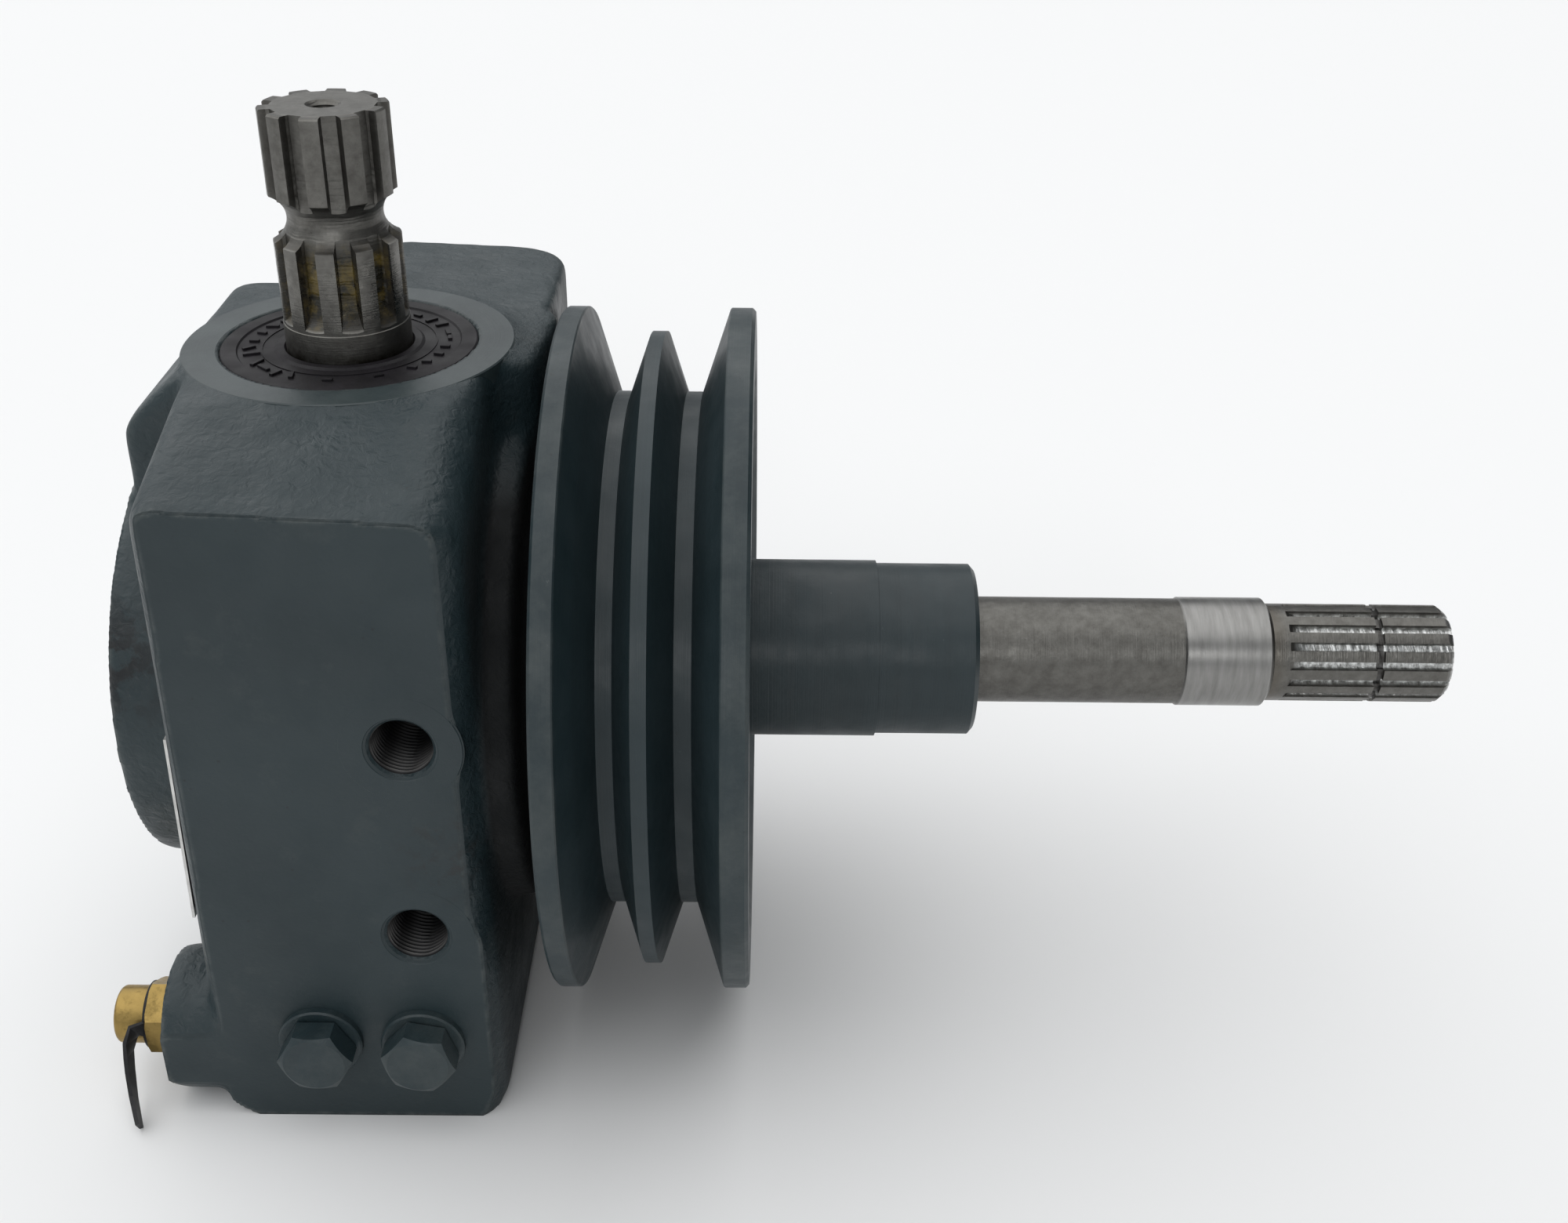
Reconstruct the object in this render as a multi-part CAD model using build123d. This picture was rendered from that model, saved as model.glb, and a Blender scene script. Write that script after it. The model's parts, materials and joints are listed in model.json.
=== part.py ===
from build123d import *
import math
import os

# Right angle bevel gearbox with a twin V-belt pulley on its cross shaft.
# Everything is modelled about the point where the two shaft axes cross, in millimetres:
# X along the cross shaft towards its splined end, Z up along the input shaft, -Y the machined front pad.
# On export it is lifted by shaft_height, so that the row's origin is on the base, under the input shaft.

# ---- driving dimensions ----
shaft_height = 116.0

# housing
base = -shaft_height
wall_left = -43.7
wall_left_top = -40.6
wall_right = 42.0
front_face = -85.0
rear_face = 85.0
machining = 1.2
crease_left_z = 88.0
crease_right_z = 84.0
slope_top_z = 98.4
box_top = 80.0
top_cast = 99.2
ring_top = 99.8
ring_radius = 46.5
corner_radius = 12.0
edge_radius = 8.0
shoulder_radius = 14.0
left_boss_radius = 64.5
left_boss_face = -62.3
rib_half_width = 25.0
rib_z = 81.5
right_flange_radius = 77.0
right_flange_face = 51.0
right_boss_radius = 58.0
right_boss_face = 56.5
seal_nose_radius = 43.0
seal_nose_face = 59.6
cavity_radius = 58.0
pinion_well_radius = 33.5
cover_radius = 56.0
cover_face = -57.6
cover_inner_face = -50.0
cover_ring_thickness = 2.2
o_ring_radius = 54.6
o_ring_left = -54.6
o_ring_right = -52.4
sump_floor = 15.0

# front pad ports and bolts, as (x, z)
port_upper = (22.3, 17.5)
port_lower = (20.9, -46.3)
port_radius = 8.2
port_depth = 26.0
port_chamfer = 1.8
port_boss_radius = 17.0
bolt_places = ((-10.5, -85.5, 0.0), (19.5, -86.0, -12.0))
bolt_radius = 6.0
bolt_length = 24.0
bolt_head_flats = 19.0
bolt_head_height = 7.5
bolt_seat_radius = 8.8
bolt_seat_height = 0.7
washer_radius = 12.3
washer_thickness = 2.4

# breather
breather_y = -65.0
breather_z = -94.5
breather_boss_radius = 21.6
breather_boss_face = -58.2
breather_hex_flats = 20.6
breather_thread_radius = 6.5
breather_bore_end = -38.0
breather_neck_radius = 6.0
breather_neck_end = 12.0
breather_hex_height = 8.4
breather_cap_radius = 8.7
breather_cap_start = 9.4
breather_cap_end = 18.8
strap_ring_radius = 10.2
strap_thickness = 1.2
strap_play = 0.1

# nameplate on the left wall, standing off it a little more at its lower end, on a set-back backing strip
nameplate_front = -76.0
nameplate_rear = -65.0
nameplate_low = -47.5
nameplate_high = 14.0
nameplate_gap_high = 1.3
nameplate_gap_low = 1.8
nameplate_thickness = 0.8
nameplate_backing_inset = 2.0
rivet_heights = (8.0, -42.0)
rivet_radius = 1.0
rivet_seat = 0.07

# bevel gear pair
module = 4.5
pinion_teeth = 12
crown_teeth = 23
face_width = 18.0
profile_shift = 0.3
backlash = 0.36
pressure_angle = math.radians(20.0)

# bearings: bore, outer diameter, width, ball diameter, number of balls
input_bearing = (35.0, 72.0, 17.0, 11.1, 9)
cross_bearing_right = (35.0, 72.0, 17.0, 11.1, 9)
cross_bearing_left = (30.0, 62.0, 16.0, 9.5, 9)
input_bearing_z = (57.0, 74.0)
input_ring_z = 91.5
right_ring_x = 50.5
ring_groove_depth = 2.2
ring_thickness = 1.7
cross_bearing_right_x = 33.0
cross_bearing_left_x = -54.0

# input shaft
input_end = 166.6
input_tip_radius = 17.35
input_root_radius = 14.0
input_collar_radius = 17.58
input_tooth_width = 5.0
input_teeth = 10
lock_groove_low = 130.6
lock_groove_high = 143.5
lock_groove_radius = 6.9
input_runout_z = 116.5
input_runout_radius = 12.0
input_seat_radius = input_bearing[0] / 2
pinion_seat_radius = 13.0
input_foot = 30.5
centre_hole_radius = 3.6

# cross shaft
cross_left_end = -53.5
cross_seat_left_radius = cross_bearing_left[0] / 2
crown_seat_radius = 18.0
crown_seat_end = -15.0
cross_middle_radius = 20.5
cross_seat_radius = cross_bearing_right[0] / 2
hub_end = 183.4
turned_radius = 16.46
ground_radius = 16.97
ground_start = 247.5
ground_end = 274.6
output_tip_radius = 15.2
output_root_radius = 13.2
output_groove_width = 2.7
output_teeth = 16
output_runout_x = 286.0
output_runout_radius = 12.0
output_groove_phase = 14.3
output_ring_groove_x = 307.4
output_ring_groove_width = 2.1
output_ring_groove_depth = 1.1
output_end = 330.0

# pulley
pulley_radius = 104.5
pulley_rib_radius = 97.3
pulley_groove_radius = 79.1
pulley_left = 58.4
pulley_right = 115.1
pulley_hub_start = 62.0
pulley_hub_end = 152.9
pulley_hub_radius = 27.45
sleeve_radius = 26.6
pulley_rim_inner = 69.0

# seals
seal_outer_radius = 36.0
input_seal_low = 93.5
input_seal_high = 99.6
cross_seal_low = 52.6
seal_sleeve_radius = 22.5
seal_clearance = 0.04


# ---- helpers ----
def disc(radius, start, end):
    """A cylinder about Z between two heights."""
    return Pos(0, 0, (start + end) / 2) * Cylinder(radius, end - start)


def tube(outer, inner, start, end):
    """A plain ring about Z."""
    return disc(outer, start, end) - disc(inner, start - 1, end + 1)


def along_x(shape):
    """Turn a shape built about Z so that its axis lies along X."""
    return Rot(0, 90, 0) * shape


def along_y(shape):
    """Turn a shape built about Z so that its axis lies along Y, upwards becoming +Y."""
    return Rot(-90, 0, 0) * shape


def slab(x0, x1, y0, y1, z0, z1):
    """A box between two corners."""
    return Pos((x0 + x1) / 2, (y0 + y1) / 2, (z0 + z1) / 2) * Box(x1 - x0, y1 - y0, z1 - z0)


def turned(points):
    """A solid of revolution about Z from an outline of (radius, height) points."""
    outline = Polyline(*[(r, 0, h) for r, h in points], close=True)
    return revolve(make_face(outline), Axis.Z)


def around(shape, count, first=0.0):
    """Copies of a shape spread evenly about Z."""
    return [Rot(0, 0, first + 360 * k / count) * shape for k in range(count)]


def prism(points, radii, start, end, plane):
    """An outline with rounded corners, extruded from one offset to another along the plane's normal."""
    outline = FilletPolyline(*points, radius=radii, close=True)
    return extrude(plane.offset(start) * make_face(outline), end - start)


# ---- bearings ----
def race(corner_radius_side, shoulder_radius, bearing):
    """A bearing ring between its chamfered seat surface and its shoulder, with the ball groove cut in."""
    bore, outside, width, ball, count = bearing
    pitch = (bore + outside) / 4
    towards = 0.8 if shoulder_radius > corner_radius_side else -0.8
    ring = turned([
        (corner_radius_side, 0.8), (corner_radius_side + towards, 0), (shoulder_radius, 0),
        (shoulder_radius, width), (corner_radius_side + towards, width), (corner_radius_side, width - 0.8)])
    return ring - Pos(0, 0, width / 2) * Torus(pitch, ball / 2 + 0.08)


def bearing_outer(bearing):
    bore, outside, width, ball, count = bearing
    return race(outside / 2, (bore + outside) / 4 + 0.28 * ball, bearing)


def bearing_inner(bearing):
    bore, outside, width, ball, count = bearing
    return race(bore / 2, (bore + outside) / 4 - 0.28 * ball, bearing)


def bearing_balls(bearing):
    bore, outside, width, ball, count = bearing
    one = Pos((bore + outside) / 4, 0, width / 2) * Sphere(ball / 2)
    return around(one, count)


def bearing_cage(bearing):
    bore, outside, width, ball, count = bearing
    pitch = (bore + outside) / 4
    ring = Pos(0, 0, width / 2) * tube(pitch + 1.4, pitch - 1.4, -0.6 * ball, 0.6 * ball)
    pocket = Pos(0, 0, width / 2) * along_x(disc(ball / 2 + 0.15, pitch - 4, pitch + 4))
    return ring - around(pocket, count)


# ---- bevel gears ----
def involute(angle):
    return math.tan(angle) - angle


def bevel_frame(teeth, mate):
    """Pitch cone angle and the outer pitch point (radius, height), with the apex at the origin."""
    cone = math.atan2(teeth, mate)
    radius = module * teeth / 2
    return cone, radius, radius / math.tan(cone)


def bevel_space(teeth, mate, shift):
    """The gap between two teeth, tapering to the apex, centred on +X."""
    cone, radius, height = bevel_frame(teeth, mate)
    pitch = radius / math.cos(cone)
    base = pitch * math.cos(pressure_angle)
    root = pitch - (1.2 - shift) * module
    top = pitch + (1.35 + shift) * module
    thickness = module * (math.pi / 2 + 2 * shift * math.tan(pressure_angle)) - backlash / 2
    half_pitch = math.pi * math.cos(cone) / teeth
    steps = 7
    side = []
    for k in range(steps + 1):
        rho = root + (top - root) * k / steps
        turn = math.acos(min(1.0, base / rho))
        half_tooth = thickness / (2 * pitch) + involute(pressure_angle) - involute(turn)
        gap = half_pitch - half_tooth
        side.append((rho * math.sin(gap), rho * math.cos(gap) - pitch))
    outline = side + [(-u, v) for u, v in reversed(side)]

    def section(scale):
        points = []
        for u, v in outline:
            x = radius + v * math.cos(cone)
            z = height - v * math.sin(cone)
            points.append(Vector(x, u, z) * scale)
        return make_face(Polyline(*points, close=True))

    return loft([section(1.12), section(0.6)], ruled=True)


def bevel_points(teeth, mate, shift):
    """Tip and root points at the large and small ends, as (radius, height)."""
    cone, radius, height = bevel_frame(teeth, mate)
    length = math.hypot(radius, height)
    small = (length - face_width) / length
    tip = (1.0 + shift) * module
    root = (1.2 - shift) * module
    tip_large = (radius + tip * math.cos(cone), height - tip * math.sin(cone))
    root_large = (radius - root * math.cos(cone), height + root * math.sin(cone))
    tip_small = (tip_large[0] * small, tip_large[1] * small)
    root_small = (root_large[0] * small, root_large[1] * small)
    return tip_large, root_large, tip_small, root_small


def pinion():
    """Twelve-tooth pinion, large end upwards, its back against the lower bearing."""
    tip_large, root_large, tip_small, root_small = bevel_points(pinion_teeth, crown_teeth, profile_shift)
    back = input_bearing_z[0]
    blank = turned([
        (pinion_seat_radius, root_small[1] - 3),
        (root_small[0] - 1.5, root_small[1] - 3),
        tip_small,
        tip_large,
        (root_large[0] + 0.5, root_large[1] + 0.2),
        (22.0, back - 1.0),
        (22.0, back),
        (pinion_seat_radius, back),
    ])
    gear = blank - around(bevel_space(pinion_teeth, crown_teeth, profile_shift), pinion_teeth)
    gear = Rot(0, 0, 180 / pinion_teeth) * gear
    return gear - pinion_key_shape()


def pinion_key_shape():
    """Parallel key, 8 by 7, between the pinion and its seat, on the rear side."""
    return slab(-4, 4, pinion_seat_radius - 4, pinion_seat_radius + 3, 35.5, 55.0)


def crown_gear():
    """Twenty-three-tooth crown gear, left of the crossing, its teeth facing the pinion."""
    tip_large, root_large, tip_small, root_small = bevel_points(crown_teeth, pinion_teeth, -profile_shift)
    back = 36.0
    blank = turned([
        (crown_seat_radius, 15.0),
        (29.0, 15.0),
        (root_small[0] - 2.0, root_small[1] + 1.0),
        tip_small,
        tip_large,
        (root_large[0] + 1.5, root_large[1] + 1.0),
        (50.5, back),
        (crown_seat_radius, back),
    ])
    gear = blank - around(bevel_space(crown_teeth, pinion_teeth, -profile_shift), crown_teeth)
    # recess in the back that clears the cover's bearing hub
    gear -= tube(40.5, 27.0, back - 2.5, back + 1)
    gear += tube(25.0, crown_seat_radius, back - 1, 37.6)
    gear = Rot(0, -90, 0) * gear
    return gear - crown_key_shape()


def crown_key_shape():
    """Parallel key, 10 by 8, between the crown gear and its seat, on top of the shaft."""
    return slab(-35.0, -17.0, -5, 5, crown_seat_radius - 5, crown_seat_radius + 3)


# ---- shafts ----
def spline_groove(section, root, full_depth, run_radius, end):
    """One spline groove: its cross-section, ending in the round run-out that a disc cutter leaves."""
    rise = end - full_depth + 5
    centre = root + run_radius
    start_angle = math.asin(min(1.0, (centre - 21.0) / run_radius)) if centre > 21.0 else 0.0
    reach = run_radius * math.cos(start_angle)
    arc = CenterArc((centre, full_depth), run_radius, 180, 90 - math.degrees(start_angle))
    tip = arc @ 1
    side = arc + Polyline(tip, (24, tip.Y), (24, full_depth + rise), (root, full_depth + rise), arc @ 0)
    envelope = extrude(Plane.XZ * make_face(side), 8, both=True)
    prism_part = extrude(Plane.XY.offset(full_depth - reach - 1) * section, reach + rise + 2)
    return prism_part & envelope


def input_spline_section():
    """Gap between two straight-sided teeth, centred on +X."""
    half_gap = math.pi / input_teeth
    half_width = input_tooth_width / 2
    inner = math.asin(half_width / (input_root_radius - 1))
    inner_angle = half_gap - inner
    outer_radius = 22.0
    outer_angle = half_gap - math.asin(half_width / outer_radius)
    low = input_root_radius - 1
    wedge = make_face(Polyline(
        (low * math.cos(inner_angle), -low * math.sin(inner_angle)),
        (outer_radius * math.cos(outer_angle), -outer_radius * math.sin(outer_angle)),
        (outer_radius * math.cos(outer_angle), outer_radius * math.sin(outer_angle)),
        (low * math.cos(inner_angle), low * math.sin(inner_angle)),
        close=True))
    return wedge - Circle(input_root_radius)


def output_spline_section():
    """Narrow trapezoid groove of the output spline, centred on +X."""
    half_tip = output_groove_width / 2
    half_root = 0.32 * output_groove_width
    slope = (half_tip - half_root) / (output_tip_radius - output_root_radius)
    outer = output_tip_radius + 2
    half_outer = half_tip + 2 * slope
    return make_face(Polyline(
        (output_root_radius, -half_root), (outer, -half_outer), (outer, half_outer),
        (output_root_radius, half_root), close=True))


def input_shaft():
    """Stepped shaft about Z: pinion seat, bearing seats, seal collar, spline and locking groove."""
    centre_chamfer = 1.2
    neck_mid = (lock_groove_low + lock_groove_high) / 2
    neck_centre = input_root_radius - 1.0 + lock_groove_radius
    neck_half = math.sqrt(lock_groove_radius ** 2 - (neck_centre - 15.6) ** 2)
    shaft = turned([
        (0, input_foot),
        (pinion_seat_radius - 1, input_foot),
        (pinion_seat_radius, input_foot + 1),
        (pinion_seat_radius, input_bearing_z[0]),
        (input_seat_radius, input_bearing_z[0]),
        (input_seat_radius, 91.2),
        (input_seat_radius - 1.3, 91.2),
        (input_seat_radius - 1.3, 92.9),
        (input_seat_radius, 92.9),
        (input_seat_radius, 96.0),
        (input_collar_radius, 96.2),
        (input_collar_radius, 107.3),
        (input_tip_radius, 107.5),
        (input_tip_radius, lock_groove_low),
        (15.6, neck_mid - neck_half),
        (15.6, neck_mid + neck_half),
        (input_tip_radius, lock_groove_high),
        (input_tip_radius, input_end - 0.5),
        (input_tip_radius - 0.5, input_end),
        (0, input_end),
    ])
    shaft -= Pos(0, 0, neck_mid) * Torus(neck_centre, lock_groove_radius)
    groove = spline_groove(input_spline_section(), input_root_radius, input_runout_z,
                           input_runout_radius, input_end)
    shaft -= around(groove, input_teeth, first=-90 + 180 / input_teeth)
    shaft -= disc(centre_hole_radius, input_end - 12, input_end + 1)
    shaft -= Pos(0, 0, input_end - 0.6) * Cone(
        centre_hole_radius, centre_hole_radius + centre_chamfer, centre_chamfer)
    # retaining ring groove below the pinion
    shaft -= tube(pinion_seat_radius + 2, pinion_seat_radius - 1.2, 31.7, 33.2)
    return shaft - pinion_key_shape()


def cross_shaft():
    """Long stepped shaft along X, from the left bearing to the splined output end."""
    shaft = turned([
        (0, cross_left_end),
        (cross_seat_left_radius - 1, cross_left_end),
        (cross_seat_left_radius, cross_left_end + 1),
        (cross_seat_left_radius, -37.6),
        (crown_seat_radius, -37.6),
        (crown_seat_radius, crown_seat_end),
        (cross_middle_radius, crown_seat_end),
        (cross_middle_radius, cross_bearing_right_x),
        (cross_seat_radius, cross_bearing_right_x),
        (cross_seat_radius, hub_end - 1.0),
        (turned_radius, hub_end - 0.2),
        (turned_radius, ground_start - 0.5),
        (ground_radius, ground_start),
        (ground_radius, ground_end - 1.4),
        (output_tip_radius, ground_end),
        (output_tip_radius, output_end - 2.0),
        (output_tip_radius - 1.6, output_end),
        (0, output_end),
    ])
    groove = spline_groove(output_spline_section(), output_root_radius, output_runout_x,
                           output_runout_radius, output_end)
    shaft -= around(groove, output_teeth, first=90 - output_groove_phase)
    ring_low = output_ring_groove_x - output_ring_groove_width / 2
    shaft -= tube(output_tip_radius + 2, output_tip_radius - output_ring_groove_depth,
                  ring_low, ring_low + output_ring_groove_width)
    centre_drill = Pos(0, 0, output_end - 1.5) * Cone(0.5, 3.0, 3.0)
    shaft -= centre_drill
    shaft = along_x(shaft)
    return shaft - crown_key_shape() - pulley_key_shape()


# ---- cross shaft parts ----
def pulley_key_shape():
    """Parallel key, 10 by 8 by 70, between the pulley hub and the shaft."""
    return slab(74.0, 144.0, -5, 5, cross_seat_radius - 5, cross_seat_radius + 3)


def pulley():
    """Twin-groove V-belt pulley with a web and a long hub on its outer side."""
    web_left, web_right = 77.5, 91.0
    body = turned([
        (pulley_hub_radius, pulley_hub_start),
        (pulley_hub_radius + 2.0, web_left),
        (pulley_rim_inner, web_left),
        (pulley_rim_inner + 2.5, pulley_left),
        (pulley_radius - 0.8, pulley_left),
        (pulley_radius, pulley_left + 0.8),
        (pulley_radius, 64.6),
        (pulley_radius - 0.4, 65.0),
        (pulley_groove_radius, 73.3),
        (pulley_groove_radius, 77.8),
        (pulley_rib_radius, 84.05),
        (pulley_rib_radius, 88.35),
        (pulley_groove_radius, 94.4),
        (pulley_groove_radius, 99.2),
        (pulley_radius - 0.4, 107.5),
        (pulley_radius, 107.9),
        (pulley_radius, pulley_right - 1.0),
        (pulley_radius - 1.0, pulley_right),
        (pulley_rim_inner + 21.0, pulley_right),
        (pulley_rim_inner + 2.5, 103.0),
        (pulley_rim_inner, web_right),
        (pulley_hub_radius + 2.5, web_right),
        (pulley_hub_radius, web_right + 2.5),
        (pulley_hub_radius, pulley_hub_end),
        (cross_seat_radius, pulley_hub_end),
        (cross_seat_radius, pulley_hub_start),
    ])
    return along_x(body) - pulley_key_shape()


def spacer_sleeve():
    """Sleeve outboard of the pulley hub, its outer end chamfered."""
    body = turned([
        (cross_seat_radius, pulley_hub_end),
        (sleeve_radius, pulley_hub_end),
        (sleeve_radius, hub_end - 1.6),
        (sleeve_radius - 1.6, hub_end - 0.2),
        (cross_seat_radius, hub_end - 0.2),
    ])
    return along_x(body)


def seal_sleeve():
    """Wear sleeve between the right bearing and the pulley hub; the seal's lip runs on it."""
    start = cross_bearing_right_x + cross_bearing_right[2]
    return along_x(tube(seal_sleeve_radius, cross_seat_radius, start, pulley_hub_start))


# ---- seals, rings and shims ----
def lip_seal(bore_radius, low, high):
    """Rotary shaft seal: outer case, a shallow annular channel in its visible face and a sprung lip."""
    height = high - low
    return turned([
        (seal_outer_radius, low),
        (seal_outer_radius, high - 0.4),
        (seal_outer_radius - 0.4, high),
        (seal_outer_radius - 4.6, high),
        (seal_outer_radius - 5.0, high - 0.5),
        (bore_radius + 3.4, high - 0.5),
        (bore_radius + 2.6, high + 0.1),
        (bore_radius + 0.6, high + 0.1),
        (bore_radius, high - 0.8),
        (bore_radius, low + 0.4 * height),
        (bore_radius + 2.2, low),
    ])


def internal_ring(bore_radius, depth, start, thickness):
    """Retaining ring in a bore's groove, with a gap at the bottom."""
    ring = tube(bore_radius + 2.0, bore_radius - depth, start, start + thickness)
    return ring - slab(-5, 5, -bore_radius - 5, -bore_radius + depth + 4, start - 1, start + thickness + 1)


def external_ring(seat_radius, groove_depth, width, start, thickness):
    """Retaining ring in a shaft's groove, with a gap at the rear."""
    ring = tube(seat_radius + width, seat_radius - groove_depth, start, start + thickness)
    return ring - slab(-3, 3, seat_radius - groove_depth - 2, seat_radius + width + 2, start - 1,
                       start + thickness + 1)


# ---- housing ----
def left_wall_at(z):
    """The left wall leans inwards towards the top, by the draft of the casting."""
    return wall_left + (wall_left_top - wall_left) * (z - base) / (crease_left_z - base)


def plan_view(z):
    """The main box seen from above, at one height."""
    cast_front = front_face - machining
    left = left_wall_at(z)
    outline = FilletPolyline(
        (left, cast_front), (wall_right, cast_front), (wall_right, rear_face), (left, rear_face),
        radius=[edge_radius, corner_radius, 14.0, 14.0], close=True)
    return Plane.XY.offset(z) * make_face(outline)


def front_view(y, top_left, top_right):
    """The main box seen from the front, at one depth, with the heights of its two upper corners."""
    outline = FilletPolyline(
        (wall_left, base), (wall_right, base), (wall_right, top_right), (left_wall_at(top_left), top_left),
        radius=[corner_radius, 3.0, shoulder_radius, edge_radius], close=True)
    return Plane.XZ.offset(-y) * make_face(outline)


def sloped_view(y):
    """The front view at a depth where the top falls from the ring to the pad's upper edge."""
    reach = (y - front_face) / (-ring_radius - front_face)
    return front_view(y, crease_left_z + (slope_top_z - crease_left_z) * reach,
                      crease_right_z + (slope_top_z - crease_right_z) * reach)


def main_box():
    """Drafted box: its front part has the sloping top, its rear part is lower."""
    plan = loft([plan_view(base), plan_view(top_cast)], ruled=True)
    front = loft([sloped_view(front_face - machining), sloped_view(0.0)], ruled=True)
    rear = extrude(front_view(0.0, box_top, box_top), -rear_face)
    return (plan & front) + (plan & rear)


def upper_blocks():
    """Everything above the main box: the top deck behind the ring, the rear block, the right shoulder."""
    blocks = prism(
        [(-47.0, 0.0), (wall_right, 0.0), (wall_right, 60.0), (-30.0, 53.5), (-47.0, 53.5)],
        [2.0, 2.0, 2.0, 30.0, 8.0], box_top - 20, top_cast, Plane.XY)
    blocks += prism(
        [(-12.0, 30.0), (53.5, 30.0), (53.5, 90.0), (-12.0, 97.0)],
        [4.0, 10.0, 20.0, 12.0], 20.0, top_cast, Plane.XY)
    blocks += prism(
        [(20.0, -24.0), (53.0, -10.0), (56.0, 34.0), (20.0, 34.0)],
        [4.0, 14.0, 4.0, 4.0], 40.0, top_cast - 1.0, Plane.XY)
    return blocks


def left_rib():
    """Rib that rises from the left boss to the ring."""
    outer = left_boss_face + 2.0
    side = make_face(Polyline(
        (outer, 40.0), (outer, rib_z), (outer + 4.0, rib_z + 5.5), (-44.0, top_cast - 1.2),
        (wall_left + 10, top_cast), (wall_left + 10, 40.0), close=True))
    return extrude(Plane.XZ * side, rib_half_width, both=True)


def housing_outside():
    """The casting's outer shape, before its bores are machined."""
    cast_front = front_face - machining
    body = main_box() + upper_blocks() + left_rib()
    # lower part of the front pad, wider to the right, and the bosses of the two ports
    body += prism(
        [(-38.0, base), (40.0, base), (40.0, -40.0), (-38.0, -40.0)],
        [edge_radius, corner_radius, 10.0, edge_radius], -front_face - 20, -cast_front, Plane.XZ)
    for x, z in (port_upper, port_lower):
        body += Pos(x, 0, z) * along_y(disc(port_boss_radius, cast_front, front_face + 24))
    # right side: round flange, bearing boss, seal nose
    body += along_x(disc(right_flange_radius, wall_right - 4, right_flange_face))
    body += along_x(disc(right_boss_radius, wall_right - 4, right_boss_face))
    body += along_x(disc(seal_nose_radius, wall_right - 4, seal_nose_face))
    # left side: bearing boss, breather boss
    body += along_x(disc(left_boss_radius, left_boss_face, wall_left + 10))
    body += Pos(0, breather_y, breather_z) * along_x(
        disc(breather_boss_radius, breather_boss_face, wall_left + 10))
    # ring boss round the input shaft
    return body + disc(ring_radius, box_top - 20, ring_top)


def housing():
    """Casting with its machined front pad, bores, seal seats, ports and tapped holes."""
    body = housing_outside()
    # machined front pad and base
    body -= slab(-80, 80, front_face - 20, front_face, base - 10, ring_top)
    body -= slab(-80, 80, -120, 120, base - 30, base)
    # gear chamber, pinion well and oil sump
    body -= along_x(disc(cavity_radius, -44.0, 28.0))
    body -= disc(pinion_well_radius, 0, input_bearing_z[0])
    body -= prism([(-33, -50), (20, -50), (20, 50), (-33, 50)], [12, 12, 12, 12], base + sump_floor, -10,
                  Plane.XY)
    # input bearing bore with its ring groove
    bore = input_bearing[1] / 2
    body -= disc(bore, input_bearing_z[0], ring_top + 5)
    body -= disc(bore + ring_groove_depth, input_ring_z, input_ring_z + ring_thickness)
    body -= Pos(0, 0, ring_top - 0.3) * Cone(bore, bore + 0.9, 0.9)
    # right bearing bore
    bore = cross_bearing_right[1] / 2
    body -= along_x(disc(bore, cross_bearing_right_x, seal_nose_face + 5))
    body -= along_x(disc(bore + ring_groove_depth, right_ring_x, right_ring_x + ring_thickness))
    body -= along_x(disc(bore - 6.0, 20.0, cross_bearing_right_x + 1))
    # left opening for the cover and its ring groove
    body -= along_x(disc(cover_radius, left_boss_face - 4, cover_inner_face))
    body -= along_x(disc(cover_radius - 1.8, cover_inner_face - 1, -40.0))
    body -= along_x(disc(cover_radius + ring_groove_depth, cover_face - 2.4, cover_face))
    # ports
    for x, z in (port_upper, port_lower):
        body -= Pos(x, 0, z) * along_y(disc(port_radius, front_face - 1, front_face + port_depth))
        body -= Pos(x, front_face + port_chamfer / 2, z) * along_y(
            Cone(port_radius + port_chamfer, port_radius, port_chamfer))
    # tapped holes of the two bolts
    for x, z, turn in bolt_places:
        body -= Pos(x, 0, z) * along_y(disc(bolt_radius, front_face - 1, front_face + bolt_length))
    # breather thread and oil passage
    body -= Pos(0, breather_y, breather_z) * along_x(
        disc(breather_thread_radius, breather_boss_face - 1, breather_bore_end))
    # rivet holes of the nameplate
    return body - nameplate_rivet_list(0.0)


# ---- covers, fasteners and small parts ----
def left_cover():
    """Disc that closes the left boss; its inner hub carries the left bearing."""
    pocket = cross_bearing_left_x
    bearing_radius = cross_bearing_left[1] / 2
    body = turned([
        (0, cover_face),
        (cover_radius, cover_face),
        (cover_radius, o_ring_left),
        (o_ring_radius, o_ring_left),
        (o_ring_radius, o_ring_right),
        (cover_radius, o_ring_right),
        (cover_radius, cover_inner_face),
        (41.0, cover_inner_face),
        (38.5, -38.2),
        (bearing_radius, -38.2),
        (bearing_radius, pocket),
        (bearing_radius - 6.0, pocket),
        (bearing_radius - 6.0, pocket - 0.6),
        (0, pocket - 0.6),
    ])
    return along_x(body)


def cover_o_ring():
    """Square-drawn section of the cover's seal ring, filling its groove."""
    return along_x(tube(cover_radius, o_ring_radius, o_ring_left, o_ring_right))


def plate_back_at(z):
    """How far left the nameplate's back is, at one height."""
    share = (nameplate_high - z) / (nameplate_high - nameplate_low)
    return left_wall_at(z) - nameplate_gap_high - (nameplate_gap_low - nameplate_gap_high) * share


def plate_strip(low, high, left_side, right_side, inset=0.0):
    """A strip behind the plate's outline, between two slanting sides given as functions of the height."""
    side = make_face(Polyline((left_side(low), low), (right_side(low), low), (right_side(high), high),
                              (left_side(high), high), close=True))
    depth = nameplate_rear - nameplate_front - 2 * inset
    return extrude(Plane.XZ.offset(inset - nameplate_rear) * side, depth)


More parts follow.
